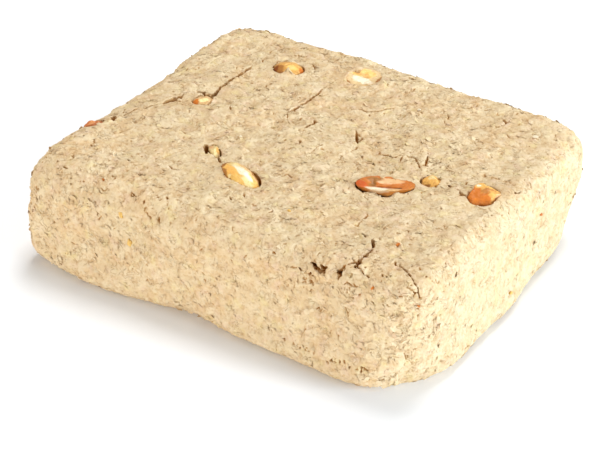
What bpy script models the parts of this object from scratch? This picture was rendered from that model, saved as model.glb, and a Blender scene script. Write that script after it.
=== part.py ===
"""A pressed block of sunflower halva with pieces of peanut set in its top.

The block stands on the floor, z = 0, with the middle of its outline over the origin. Its long side
runs along X and its front faces -Y. Lengths are in metres.
"""

import math

import bmesh
import bpy
import numpy as np
from mathutils import Matrix, Vector, noise
from mathutils.bvhtree import BVHTree

MM = 0.001

# ---------------------------------------------------------------- driving dimensions

LENGTH = 115 * MM
DEPTH = 92 * MM
HEIGHT = 30 * MM
FOOT_EDGE = 4 * MM      # round of the edge that the block stands on
GRID = (40, 32, 10)     # faces of the block along X, Y and Z

FIT = 0.3 * MM          # clearance between a peanut and the halva that it sits in

# Each corner as seen from above: which way it lies, then its plan radius and how far it stands out
# along X and Y, in mm, at the foot, the waist and the shoulder.
CORNERS = {
    "left": ((-1, -1), (3, 0.5, 1), (6, 2.5, 3), (9, 1, 0)),
    "near": ((1, -1), (25, 3, 4.5), (16, 0.5, 0), (5.5, 0.5, -1.5)),
    "right": ((1, 1), (24, 0.5, 0), (10, 0.7, -0.3), (8, -0.4, 0.8)),
    "far": ((-1, 1), (9, 0, 0), (9, 0, 0), (11.5, 0, 4.5)),
}
# How much higher than HEIGHT the top is at each corner, and the round of its top edge there, in mm.
RISE = {"left": 0.5, "near": 2.5, "right": -1.0, "far": 0.0}
TOP_EDGE = {"left": 5.5, "near": 4.5, "right": 4.0, "far": 5.5}

# Soft swells and hollows of the hand-pressed block: middle, reach and push, each in mm.
SWELLS = {
    "left shoulder": ((-58, -32, 27), (14, 12, 16), (0, 0, 1.5)),
    "left edge dip": ((-56, 10, 29), (14, 14, 12), (0, 0, -1.5)),
    "back edge dip": ((-38, 47, 28), (12, 14, 12), (0, 0, -1.2)),
    "back edge rise": ((42, 47, 29), (22, 14, 12), (0, 0, 0.8)),
    "front foot bulge": ((-36, -47, 1), (17, 14, 9), (0, -3, 0)),
    "front foot notch": ((-8, -47, 0), (8, 9, 7), (0, 2, 0)),
    "right foot bulge": ((59, -2, 1), (10, 9, 8), (1.5, 0, 0)),
    "right waist": ((58, 40, 20), (9, 10, 7), (0.6, 0.3, 0)),
}

# Crumbly relief that lies over the smooth form.
LUMP_SIZE = 13 * MM
LUMP_HEIGHT = 0.45 * MM
FLAKE_SIZE = 5.5 * MM
FLAKE_HEIGHT = 0.55 * MM
FLAKE_EDGE = 0.22       # share of a flake that slopes down to its border
CALM_HEIGHT = 3 * MM    # the relief dies out over this height above the floor
# Places where the crust has crumbled: middle and reach in mm, and how much rougher it is there.
CRUMBLED = (((36, -46, 29), 13, 1.3), ((52, -44, 4), 16, 0.9), ((-8, -47, 2), 9, 0.8))

# Moves the block so that its outline is centred on the origin.
CENTRING = Vector((-0.19, 1.07, 0)) * MM

# ---------------------------------------------------------------- finishes

HALVA = ((0.70, 0.53, 0.32), 0.92)
GOLDEN = ((0.83, 0.50, 0.15), 0.45)
PALE = ((0.85, 0.60, 0.28), 0.5)
SKIN = ((0.62, 0.22, 0.05), 0.5)
DARK_SKIN = ((0.42, 0.10, 0.03), 0.5)

# ---------------------------------------------------------------- peanuts and cracks

# Every piece of peanut: its shape, its length, width and thickness in mm, the middle of it on the
# top in mm, how far that middle lies under the surface, its heading and roll in degrees, and its finish.
PEANUTS = {
    "peanut_golden_whole": ("whole", (15.0, 7.0, 8.0), (-7.3, -23.8), 1.8, -21, 0, GOLDEN),
    "peanut_split_long": ("half", (15.2, 8.0, 6.0), (25.7, -7.7), -0.4, 28, -6, SKIN),
    "peanut_curved_crumb": ("chip", (5.6, 4.2, 3.6), (34.5, 0.9), 0.7, 38, 20, GOLDEN),
    "peanut_skinned_chunk": ("chunk", (9.4, 9.6, 7.6), (48.5, 2.1), 1.3, 20, 0, SKIN),
    "peanut_buried_brown": ("whole", (9.4, 7.6, 6.4), (-27.4, 29.8), 1.7, 12, 10, SKIN),
    "peanut_pale_half": ("half", (10.8, 9.0, 5.6), (-7.7, 37.3), 0.2, 45, 8, PALE),
    "peanut_pale_sliver": ("whole", (6.6, 4.4, 4.2), (-37.0, 2.6), 1.3, 40, 0, PALE),
    "peanut_rim_red": ("chip", (6.2, 4.0, 3.0), (-54.8, -23.0), 1.2, 76, 0, DARK_SKIN),
    "peanut_thin_yellow": ("chip", (6.4, 2.8, 2.8), (-20.0, -17.2), 0.6, -41, 0, GOLDEN),
}
AROUND = 16             # faces round a peanut
ALONG = 10              # faces from end to end of a peanut
TIP = 0.18              # how much slimmer a kernel is at its tip, and fuller at its blunt end
RIM = 0.35              # height of a half kernel's rim, as a share of its round side
DISH = 0.45             # depth of its inner face, as a share of its round side
# Flat breaks of the broken pieces: a direction, and its distance from the middle of a ball of radius 1.
CHUNK_BREAKS = (
    ((1, -0.5, 0.1), 0.72), ((-1, 0.3, 0.2), 0.74), ((0.2, -1, 0.4), 0.72),
    ((0.1, 1, 0.2), 0.7), ((-0.3, -0.2, 1), 0.76), ((0.6, 0.5, 1), 0.8),
)
CHIP_BREAKS = (((-0.7, -0.2, 0.8), 0.6), ((0.8, 0.4, 0.6), 0.66), ((0, 1, -0.2), 0.7))

# Room that some pockets have beyond their peanut, in mm: these lie open to above, and the golden kernel
# and the skinned chunk have also worked loose to one side.
ROOM = {
    "peanut_golden_whole": (0.9, 0.9, 4),
    "peanut_skinned_chunk": (-0.4, 0.5, 4),
    "peanut_split_long": (0, 0, 5),
    "peanut_pale_half": (0, 0, 5),
}

# Cracks in the crust: points that each one runs through and its width and depth, all in mm.
CRACKS = {
    "front_cleft": (
        [(27, -47, 29), (30.5, -45.5, 31), (34, -44.5, 31), (36, -41, 31), (36.4, -36, 31),
         (34.5, -28.5, 31)],
        2.2, 4.0,
    ),
    "near_corner_crack": ([(43, -33.5, 32), (47, -35, 32), (50.5, -37.5, 32), (54.5, -41, 31)], 0.9, 2.6),
    "left_crack": (
        [(-54, -16, 30), (-48.5, -6.5, 30), (-44.5, 1, 30), (-40.5, 6.2, 30), (-37.5, 12, 30),
         (-38, 20, 30), (-38.8, 26, 30), (-38.3, 40, 30)],
        0.9, 2.2,
    ),
}
ABOVE = 2 * MM          # how far the cutter of a crack stands out of the crust
# The bite out of the front foot: its middle and half-sizes, in mm.
FOOT_BITE = ((-7, -47.5, -0.4), (7.5, 4.5, 3.2))


# ---------------------------------------------------------------- the block


def level_shares(height):
    """Weights of the foot, the waist and the shoulder at heights from 0 to 1: a curve through all three."""
    return (1 - height) * (1 - 2 * height), 4 * height * (1 - height), height * (2 * height - 1)


def corner_shares(along, across):
    """Weight of each corner at places from -1 to 1 along X and Y."""
    return {
        name: (1 + corner[0][0] * along) * (1 + corner[0][1] * across) / 4
        for name, corner in CORNERS.items()
    }


def halva_form(lattice):
    """Turns points of a cube from -1 to 1 into points of the smooth block."""
    along, across, up = lattice.T
    half_x, half_y = LENGTH / 2, DEPTH / 2
    height = (up + 1) / 2
    levels = level_shares(height)
    shares = corner_shares(along, across)

    # The plan radius and the top edge here, blended between the corners and the three levels.
    radius = MM * sum(
        shares[name] * sum(level * row[0] for level, row in zip(levels, corner[1:]))
        for name, corner in CORNERS.items()
    )
    top_edge = MM * sum(shares[name] * TOP_EDGE[name] for name in CORNERS)

    # Where this direction meets the rounded outline of the block.
    ring = np.maximum(np.maximum(abs(along), abs(across)), 1e-9)
    square = np.stack([along / ring * half_x, across / ring * half_y])
    inner = np.stack([
        np.clip(square[0], radius - half_x, half_x - radius),
        np.clip(square[1], radius - half_y, half_y - radius),
    ])
    outward = square - inner
    outline = inner + outward / np.maximum(np.hypot(*outward), 1e-9) * radius

    # Distance in from the side and height, with both edges rounded.
    inset = (1 - ring) * min(half_x, half_y)
    z = height * HEIGHT
    edge = np.where(height > 0.5, top_edge, FOOT_EDGE)
    hub_z = np.where(height > 0.5, np.minimum(z, HEIGHT - top_edge), np.maximum(z, FOOT_EDGE))
    hub_inset = np.maximum(inset, edge)
    reach = np.maximum(np.hypot(inset - hub_inset, z - hub_z), 1e-9)
    rounded = (inset < edge) & (abs(z - hub_z) > 0)
    inset = np.where(rounded, hub_inset + (inset - hub_inset) / reach * edge, inset)
    z = np.where(rounded, hub_z + (z - hub_z) / reach * edge, z)
    flat = outline * (1 - inset / min(half_x, half_y))
    points = np.stack([flat[0], flat[1], z], axis=1)

    # Corners that stand out of the plain outline and rise above the plain height.
    height = z / HEIGHT
    levels = level_shares(height)
    shares = corner_shares(flat[0] / half_x, flat[1] / half_y)
    for name, corner in CORNERS.items():
        for axis in (0, 1):
            out = sum(level * row[1 + axis] for level, row in zip(levels, corner[1:]))
            points[:, axis] += shares[name] * corner[0][axis] * out * MM
        points[:, 2] += shares[name] * height * RISE[name] * MM

    for middle, reach, push in SWELLS.values():
        away = (points / MM - middle) / reach
        move = np.outer(np.exp(-(away**2).sum(axis=1)), push) * MM
        move[:, 2] *= points[:, 2] / HEIGHT
        points += move
    return points


def relief(point):
    """How far the crumbly crust stands out at this point: broad lumps, and flakes with sunk borders."""
    lumps = noise.noise(point / LUMP_SIZE) * LUMP_HEIGHT
    nearest, second = noise.voronoi(point / FLAKE_SIZE)[0][:2]
    crown = min((second - nearest) / FLAKE_EDGE, 1.0)
    rough = 1.0
    for middle, reach, gain in CRUMBLED:
        rough += gain * math.exp(-((point / MM - Vector(middle)).length / reach) ** 2)
    return lumps + (crown - 0.7) * FLAKE_HEIGHT * rough


def halva_mesh():
    """The whole block before anything is cut from it."""
    bm = bmesh.new()
    bmesh.ops.create_cube(bm, size=2)
    for axis, count in enumerate(GRID):
        parallel = [e for e in bm.edges if abs((e.verts[0].co - e.verts[1].co)[axis]) > 1]
        bmesh.ops.subdivide_edges(bm, edges=parallel, cuts=count - 1)
    lattice = np.array([v.co for v in bm.verts])
    for vert, point in zip(bm.verts, halva_form(lattice)):
        vert.co = point
    bm.normal_update()
    pushes = [v.normal * relief(v.co) * min(v.co.z / CALM_HEIGHT, 1) for v in bm.verts]
    for vert, push in zip(bm.verts, pushes):
        vert.co += push
        vert.co += CENTRING
        vert.co.z = max(vert.co.z, 0)
    return bm


# ---------------------------------------------------------------- shared helpers


def finish(name, look):
    """A plain material from a colour and a roughness."""
    (red, green, blue), roughness = look
    material = bpy.data.materials.new(name)
    material.use_nodes = True
    shader = material.node_tree.nodes["Principled BSDF"]
    shader.inputs["Base Color"].default_value = (red, green, blue, 1)
    shader.inputs["Roughness"].default_value = roughness
    shader.inputs["Metallic"].default_value = 0
    return material


def add_object(name, bm, collection=None):
    mesh = bpy.data.meshes.new(name)
    bmesh.ops.recalc_face_normals(bm, faces=bm.faces)
    bm.to_mesh(mesh)
    bm.free()
    made = bpy.data.objects.new(name, mesh)
    (collection or bpy.context.scene.collection).objects.link(made)
    return made


def add_cutter(name, bm, collection):
    cutter = add_object(name, bm, collection)
    cutter.hide_render = True
    cutter.display_type = "WIRE"


# ---------------------------------------------------------------- peanuts


def whole_kernel(point):
    """A kernel: oval, slimmer towards the tip at +X than at its blunt end."""
    slim = 1 - TIP * point.x * abs(point.x)
    return Vector((point.x, point.y * slim, point.z * slim))


def half_kernel(point):
    """One side of a split kernel: round below, with a rim and a dished inner face on top."""
    kernel = whole_kernel(point)
    if point.z > 0:
        kernel.z = RIM * point.z - DISH * (1 - point.x**2 - point.y**2)
    return kernel


def broken(point, breaks):
    """A ball with flat breaks, each given as a direction and its distance from the middle."""
    for direction, distance in breaks:
        square_on = Vector(direction).normalized()
        point = point - square_on * max(point.dot(square_on) - distance, 0)
    return point


def chunk(point):
    return broken(point, CHUNK_BREAKS)


def chip(point):
    return broken(point, CHIP_BREAKS)


SHAPES = {"whole": whole_kernel, "half": half_kernel, "chunk": chunk, "chip": chip}


def peanut_mesh(kind, size, middle, heading, roll):
    bm = bmesh.new()
    bmesh.ops.create_uvsphere(bm, u_segments=AROUND, v_segments=ALONG, radius=1)
    lie_down = Matrix.Rotation(math.radians(90), 4, "Y")
    stretch = Matrix.Diagonal(Vector(size) * MM / 2)
    turn = Matrix.Rotation(math.radians(heading), 3, "Z") @ Matrix.Rotation(math.radians(roll), 3, "X")
    for vert in bm.verts:
        vert.co = middle + turn @ stretch @ SHAPES[kind](lie_down @ vert.co)
    bm.normal_update()
    return bm


def pocket_mesh(peanut, room):
    """The space round a peanut, swept towards `room` where the pocket is wider than the peanut."""
    bm = bmesh.new()
    for vert in peanut.verts:
        grown = vert.co + vert.normal * FIT
        bm.verts.new(grown)
        if room.length > 0:
            bm.verts.new(grown + room)
    bmesh.ops.convex_hull(bm, input=bm.verts)
    loners = [v for v in bm.verts if not v.link_faces]
    bmesh.ops.delete(bm, geom=loners, context="VERTS")
    return bm


# ---------------------------------------------------------------- cracks


def crack_mesh(route, width, depth, surface):
    """A blade along the crust: its two upper edges lie above it, its keel under it, and it ends in tips."""
    on_crust = [surface.find_nearest(Vector(point) * MM + CENTRING)[:2] for point in route]
    bm = bmesh.new()
    tips = [bm.verts.new(place) for place, _ in (on_crust[0], on_crust[-1])]
    sections = []
    for before, (place, normal), after in zip(on_crust, on_crust[1:], on_crust[2:]):
        # The sides slope so that the crack is `width` wide where it breaks the crust.
        half_width = width / 2 * (1 + ABOVE / depth)
        side = (after[0] - before[0]).cross(normal).normalized() * half_width
        top = place + normal * ABOVE
        keel = place - normal * depth
        sections.append([bm.verts.new(corner) for corner in (top - side, top + side, keel)])
    for k in range(3):
        for section, following in zip(sections, sections[1:]):
            bm.faces.new((section[k], section[k - 1], following[k - 1], following[k]))
        bm.faces.new((tips[0], sections[0][k - 1], sections[0][k]))
        bm.faces.new((tips[1], sections[-1][k], sections[-1][k - 1]))
    return bm


def foot_bite_mesh():
    bm = bmesh.new()
    bmesh.ops.create_icosphere(bm, subdivisions=2, radius=1)
    middle, half_size = (Vector(row) * MM for row in FOOT_BITE)
    stretch = Matrix.Diagonal(half_size)
    for vert in bm.verts:
        vert.co = middle + CENTRING + stretch @ vert.co
    return bm


# ---------------------------------------------------------------- assembly


def build():
    for old in list(bpy.data.objects):
        bpy.data.objects.remove(old)
    cutters = bpy.data.collections.new("cutters")
    bpy.context.scene.collection.children.link(cutters)

    block_mesh = halva_mesh()
    surface = BVHTree.FromBMesh(block_mesh)
    block = add_object("halva_block", block_mesh)
    block.data.shade_smooth()
    block.data.materials.append(finish("halva", HALVA))

    for name, (kind, size, place, sunk, heading, roll, look) in PEANUTS.items():
        over = Vector((place[0] * MM, place[1] * MM, 2 * HEIGHT)) + CENTRING
        crust = surface.ray_cast(over, Vector((0, 0, -1)))[0]
        middle = crust - Vector((0, 0, sunk * MM))
        bm = peanut_mesh(kind, size, middle, heading, roll)
        room = Vector(ROOM.get(name, (0, 0, 0))) * MM
        add_cutter("pocket_" + name, pocket_mesh(bm, room), cutters)
        peanut = add_object(name, bm)
        peanut.data.shade_smooth()
        peanut.data.materials.append(finish(name, look))

    for name, (route, width, depth) in CRACKS.items():
        add_cutter(name, crack_mesh(route, width * MM, depth * MM, surface), cutters)
    add_cutter("foot_bite", foot_bite_mesh(), cutters)

    carve = block.modifiers.new("carve", "BOOLEAN")
    carve.operation = "DIFFERENCE"
    carve.operand_type = "COLLECTION"
    carve.collection = cutters


build()
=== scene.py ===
# %% [markdown]
# # A block of sunflower halva
#
# Halva is ground seeds folded into hot spun sugar and pressed while it is still warm. The sugar
# sets as fine threads and flakes, so a pressed block is dull, dry and crumbly all over, with soft
# corners and small cracks. This one has pieces of peanut in its top.
#
# The solid model gives the block and the nine peanuts at their real size. This script dresses
# them: it makes the crust again with all its fine relief, and each peanut with its skin and shine.
# First it loads that solid model and keeps the box that it fills.

import itertools
import math

import bmesh
import bpy
import numpy as np
from mathutils import Matrix, Vector, noise
from mathutils.bvhtree import BVHTree


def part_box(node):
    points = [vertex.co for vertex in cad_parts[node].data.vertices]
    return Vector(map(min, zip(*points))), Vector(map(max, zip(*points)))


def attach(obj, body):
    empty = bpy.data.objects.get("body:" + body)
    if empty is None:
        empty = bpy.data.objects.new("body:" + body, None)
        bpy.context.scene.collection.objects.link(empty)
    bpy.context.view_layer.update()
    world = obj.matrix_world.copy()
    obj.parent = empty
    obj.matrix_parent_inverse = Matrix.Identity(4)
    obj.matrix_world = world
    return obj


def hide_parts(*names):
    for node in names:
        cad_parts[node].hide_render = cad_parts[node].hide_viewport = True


MM = 0.001
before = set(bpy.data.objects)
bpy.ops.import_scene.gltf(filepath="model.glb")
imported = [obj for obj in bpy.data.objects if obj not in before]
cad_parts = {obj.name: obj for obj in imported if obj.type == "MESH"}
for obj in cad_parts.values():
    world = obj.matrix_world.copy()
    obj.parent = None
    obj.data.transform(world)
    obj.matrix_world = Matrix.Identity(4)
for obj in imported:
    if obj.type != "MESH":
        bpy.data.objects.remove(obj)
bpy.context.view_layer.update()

# %% [markdown]
# ## The camera
#
# From close by, a wide lens would swell the near corner. A long lens from half a metre away keeps
# the block's edges nearly parallel. The place is worked out from an azimuth and an elevation round
# a point on the front half of the top, because those are easier to adjust than three coordinates.

# %% Place the camera
LENS = 114  # mm, on a 36 mm wide sensor
AZIMUTH = math.radians(32.63)
ELEVATION = math.radians(34.63)
DISTANCE = 464.3 * MM
AIM = Vector((16.3, -32.0, 29.9)) * MM


def direction(azimuth, elevation):
    """Unit vector from the block towards this azimuth and elevation. Azimuth 0 is in front of it, at -Y."""
    level = math.cos(elevation)
    return Vector((math.sin(azimuth) * level, -math.cos(azimuth) * level, math.sin(elevation)))


def link(made):
    bpy.context.scene.collection.objects.link(made)
    return made


def look_from(made, place, target):
    made.location = place
    made.rotation_mode = "QUATERNION"
    made.rotation_quaternion = (target - place).to_track_quat("-Z", "Y")


camera = link(bpy.data.objects.new("camera", bpy.data.cameras.new("camera")))
camera.data.lens = LENS
look_from(camera, AIM + direction(AZIMUTH, ELEVATION) * DISTANCE, AIM)
bpy.context.scene.camera = camera
print("camera, mm:", [round(x / MM) for x in camera.location])

# %% [markdown]
# ## The skin of the block
#
# The block was pressed by hand, so none of its corners is the same. It could be sculpted, or made
# from a cube with bevels. Here it is worked out, so that each part of its form stays a number that
# can be changed. It starts as a fine lattice of squares over the skin of a cube, which has neither
# seams nor the pinched poles of a ball.

# %% A lattice over the skin of a cube
LATTICE = (324, 264, 84)  # squares along X, Y and Z


def cube_skin(counts):
    """Points from -1 to 1 on the skin of a cube, and the squares between them."""
    shape = [count + 1 for count in counts]
    on_skin = np.ones(shape, bool)
    on_skin[1:-1, 1:-1, 1:-1] = False
    number = np.cumsum(on_skin.ravel()).reshape(shape) - 1
    squares = []
    for axis, end in itertools.product(range(3), (0, -1)):
        sheet = np.take(number, end, axis=axis)
        ring = [sheet[:-1, :-1], sheet[1:, :-1], sheet[1:, 1:], sheet[:-1, 1:]]
        # Two of the axes left in order make a right-handed pair, except past the middle one.
        faces_out = (end == -1) != (axis == 1)
        squares.append(np.stack(ring if faces_out else ring[::-1], axis=-1).reshape(-1, 4))
    return np.argwhere(on_skin) / counts * 2 - 1, np.concatenate(squares)


cube_points, squares = cube_skin(LATTICE)
print("lattice:", len(cube_points), "points,", len(squares), "squares")

# %% [markdown]
# ### Corners that all differ
#
# Hands press a warm block unevenly: one corner is sharp, the next is worn round, and one leans out
# over its foot. A bevel rounds every corner alike. So each corner has its own plan radius and its
# own overhang at three heights, and a few soft swells and hollows lie between them. All the numbers
# are millimetres, and they are those of the solid model, so both have one form.

# %% How the corners differ
LENGTH, DEPTH, HEIGHT = 115, 92, 30
FOOT_EDGE = 4
# Which way each corner lies, then its plan radius and how far it stands out along X and Y, at the
# foot, the waist and the shoulder.
CORNERS = {
    "left": ((-1, -1), (3, 0.5, 1), (6, 2.5, 3), (9, 1, 0)),
    "near": ((1, -1), (25, 3, 4.5), (16, 0.5, 0), (5.5, 0.5, -1.5)),
    "right": ((1, 1), (24, 0.5, 0), (10, 0.7, -0.3), (8, -0.4, 0.8)),
    "far": ((-1, 1), (9, 0, 0), (9, 0, 0), (11.5, 0, 4.5)),
}
RISE = {"left": 0.5, "near": 2.5, "right": -1.0, "far": 0.0}
TOP_EDGE = {"left": 5.5, "near": 4.5, "right": 4.0, "far": 5.5}
# Soft swells and hollows: middle, reach and push.
SWELLS = {
    "left shoulder": ((-58, -32, 27), (14, 12, 16), (0, 0, 1.5)),
    "left edge dip": ((-56, 10, 29), (14, 14, 12), (0, 0, -1.5)),
    "back edge dip": ((-38, 47, 28), (12, 14, 12), (0, 0, -1.2)),
    "back edge rise": ((42, 47, 29), (22, 14, 12), (0, 0, 0.8)),
    "front foot bulge": ((-36, -47, 1), (17, 14, 9), (0, -3, 0)),
    "front foot notch": ((-8, -47, 0), (8, 9, 7), (0, 2, 0)),
    "right foot bulge": ((59, -2, 1), (10, 9, 8), (1.5, 0, 0)),
    "right waist": ((58, 40, 20), (9, 10, 7), (0.6, 0.3, 0)),
}
CENTRING = np.array((-0.19, 1.07, 0))
print("corners:", len(CORNERS), "and swells:", len(SWELLS))

# %% [markdown]
# ### Bending the lattice
#
# The lattice is bent in three steps: onto the rounded outline seen from above, round the edges at
# the top and the foot, and out to the corners and swells. A chain of modifiers could do the same,
# but a formula gives the skin in one go and keeps the squares even.

# %% Bend the lattice into the block


def level_shares(height):
    """Weights of the foot, the waist and the shoulder at heights from 0 to 1."""
    return (1 - height) * (1 - 2 * height), 4 * height * (1 - height), height * (2 * height - 1)


def corner_shares(along, across):
    """Weight of each corner at places from -1 to 1 along X and Y."""
    return {
        name: (1 + corner[0][0] * along) * (1 + corner[0][1] * across) / 4
        for name, corner in CORNERS.items()
    }


def block_form(cube_points):
    """Turns points of a cube from -1 to 1 into points of the smooth block."""
    along, across, up = cube_points.T
    half_x, half_y = LENGTH / 2, DEPTH / 2
    height = (up + 1) / 2
    levels = level_shares(height)
    shares = corner_shares(along, across)
    radius = sum(
        shares[name] * sum(level * row[0] for level, row in zip(levels, corner[1:]))
        for name, corner in CORNERS.items()
    )
    top_edge = sum(shares[name] * TOP_EDGE[name] for name in CORNERS)

    # Where this direction meets the rounded outline.
    ring = np.maximum(np.maximum(abs(along), abs(across)), 1e-9)
    square = np.stack([along / ring * half_x, across / ring * half_y])
    inner = np.stack([
        np.clip(square[0], radius - half_x, half_x - radius),
        np.clip(square[1], radius - half_y, half_y - radius),
    ])
    outward = square - inner
    outline = inner + outward / np.maximum(np.hypot(*outward), 1e-9) * radius

    # Distance in from the side and height, with both edges rounded.
    inset = (1 - ring) * min(half_x, half_y)
    z = height * HEIGHT
    edge = np.where(height > 0.5, top_edge, FOOT_EDGE)
    hub_z = np.where(height > 0.5, np.minimum(z, HEIGHT - top_edge), np.maximum(z, FOOT_EDGE))
    hub_inset = np.maximum(inset, edge)
    reach = np.maximum(np.hypot(inset - hub_inset, z - hub_z), 1e-9)
    rounded = (inset < edge) & (abs(z - hub_z) > 0)
    inset = np.where(rounded, hub_inset + (inset - hub_inset) / reach * edge, inset)
    z = np.where(rounded, hub_z + (z - hub_z) / reach * edge, z)
    flat = outline * (1 - inset / min(half_x, half_y))
    points = np.stack([flat[0], flat[1], z], axis=1)

    # Corners that stand out of the plain outline and rise above the plain height.
    height = z / HEIGHT
    levels = level_shares(height)
    shares = corner_shares(flat[0] / half_x, flat[1] / half_y)
    for name, corner in CORNERS.items():
        for axis in (0, 1):
            out = sum(level * row[1 + axis] for level, row in zip(levels, corner[1:]))
            points[:, axis] += shares[name] * corner[0][axis] * out
        points[:, 2] += shares[name] * height * RISE[name]

    for middle, reach, push in SWELLS.values():
        away = (points - middle) / reach
        move = np.outer(np.exp(-(away**2).sum(axis=1)), push)
        move[:, 2] *= points[:, 2] / HEIGHT
        points += move
    return points + CENTRING


smooth_points = block_form(cube_points)
print("smooth block, mm:", np.round(np.ptp(smooth_points, axis=0), 1))

# %% [markdown]
# ### From numbers to pieces
#
# Arrays of numbers are quick to work with, but what Blender shows is objects. These helpers make a
# mesh from arrays, read one back, and add a mesh to the scene as a piece that rides on the one body.
# A mesh can carry extra numbers at its points, which a finish reads later. A search tree over the
# smooth skin then tells where on it any loose point belongs.

# %% Meshes and pieces from arrays


def mesh_from(name, points, faces, **values):
    """A mesh from points in mm and faces, with a number or vector for each point under each extra name."""
    mesh = bpy.data.meshes.new(name)
    mesh.from_pydata(np.asarray(points) * MM, [], np.asarray(faces))
    for key, column in values.items():
        column = np.asarray(column, np.float32)
        kind = "FLOAT" if column.ndim == 1 else "FLOAT_VECTOR"
        field = "value" if column.ndim == 1 else "vector"
        mesh.attributes.new(key, kind, "POINT").data.foreach_set(field, column.ravel())
    mesh.shade_smooth()
    return mesh


def array_of(mesh, field):
    """The points of a mesh in mm, or their normals, as an array."""
    source = mesh.vertices if field == "co" else mesh.vertex_normals
    column = np.empty(len(mesh.vertices) * 3, np.float32)
    source.foreach_get(field, column)
    return column.reshape(-1, 3).astype(float) * (1 / MM if field == "co" else 1)


def add_piece(name, mesh, slot, *nodes):
    """A piece of the halva: it rides on the one body, and may stand for solids of the frame."""
    piece = link(bpy.data.objects.new(name, mesh))
    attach(piece, "root")
    if nodes:
        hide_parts(*nodes)
    print(name, "has", sum(len(face.vertices) - 2 for face in mesh.polygons), "triangles")
    return piece


smooth_mesh = mesh_from("smooth block", smooth_points, squares)
smooth_tree = BVHTree.FromPolygons((smooth_points * MM).tolist(), squares.tolist())


def on_skin(point):
    """The nearest place of the smooth skin, in mm, and the direction that it faces."""
    place, normal, _, _ = smooth_tree.find_nearest(Vector(point) * MM)
    return np.array(place) / MM, np.array(normal)


print("middle of the top, mm:", np.round(on_skin((0, 0, HEIGHT))[0], 1))

# %% [markdown]
# ## Noise and cells
#
# Relief that looks grown needs randomness that never changes from run to run. Blender has noise
# textures for this, and a modifier could use them. Here they are written out as two short array
# functions, because the same arrays then also steer where cracks, pits and flakes go.

# %% Noise that never changes


def hashed(places, seed):
    """A number from 0 to 1 for each whole-numbered place. It looks random and is always the same."""
    x, y, z = np.asarray(places, np.int64).T.astype(np.uint32)
    mixed = x * np.uint32(0x8DA6B343) ^ y * np.uint32(0xD8163841) ^ z * np.uint32(0xCB1AB31F)
    mixed += np.uint32(seed * 0x9E3779B1 % 2**32)
    for shift, factor in ((15, 0x2C1B3C6D), (12, 0x297A2D39), (15, 1)):
        mixed ^= mixed >> np.uint32(shift)
        mixed *= np.uint32(factor)
    return mixed / 2**32


def hashed_vector(places, seed):
    return np.stack([hashed(places, 3 * seed + k) for k in range(3)], axis=1)


def noise_at(points, size, seed):
    """Smooth noise, mostly from -1 to 1, with bumps about `size` wide."""
    place = points / size
    corner = np.floor(place)
    inside = place - corner
    ease = inside**3 * (inside * (inside * 6 - 15) + 10)
    total = np.zeros(len(points))
    for step in itertools.product((0, 1), repeat=3):
        weight = np.prod(np.where(step, ease, 1 - ease), axis=1)
        slope = hashed_vector(corner + step, seed) * 2 - 1
        total += weight * ((inside - step) * slope).sum(axis=1)
    return total * 1.7


def cells_at(points, size, seed):
    """For cells about `size` wide: how far inside its cell each point is, in mm, and two random numbers,
    one of its own cell and one of the next nearest cell."""
    place = points / size
    corner = np.floor(place)
    nearest, second = np.full(len(points), 9.0), np.full(len(points), 9.0)
    own, other = np.zeros(len(points)), np.zeros(len(points))
    for step in itertools.product((-1, 0, 1), repeat=3):
        cell = corner + step
        away = np.linalg.norm(cell + hashed_vector(cell, seed) - place, axis=1)
        label = hashed(cell, 3 * seed + 7)
        closer, close = away < nearest, away < second
        other = np.where(closer, own, np.where(close, label, other))
        second = np.where(closer, nearest, np.where(close, away, second))
        own = np.where(closer, label, own)
        nearest = np.where(closer, away, nearest)
    return (second - nearest) / 2 * size, own, other


def ramp(values, low, high):
    """A smooth step: 0 below `low`, 1 above `high`."""
    share = np.clip((values - low) / (high - low), 0, 1)
    return share * share * (3 - 2 * share)


def warped(points, size, reach, seed):
    """The points, each moved by up to about `reach` so that what is read there looks bent."""
    return points + np.stack([noise_at(points, size, seed + k) for k in range(3)], axis=1) * reach


sample = noise_at(smooth_points, 9, 0)
print("noise over the skin: from", sample.min().round(2), "to", sample.max().round(2))

# %% [markdown]
# ## Cracks and holes
#
# Pressed halva splits where it was bent. A crack could be cut with a Boolean, but hundreds of
# them are easier as marks: short straight pieces on the skin, each with a width and a depth. The
# skin is pushed in wherever it passes near a mark. The longest cracks are drawn through a few
# given points, and a hole where a lump has come away is a handful of bites close together.

# %% The cracks that are drawn through given points
draw = np.random.default_rng(11)

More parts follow.
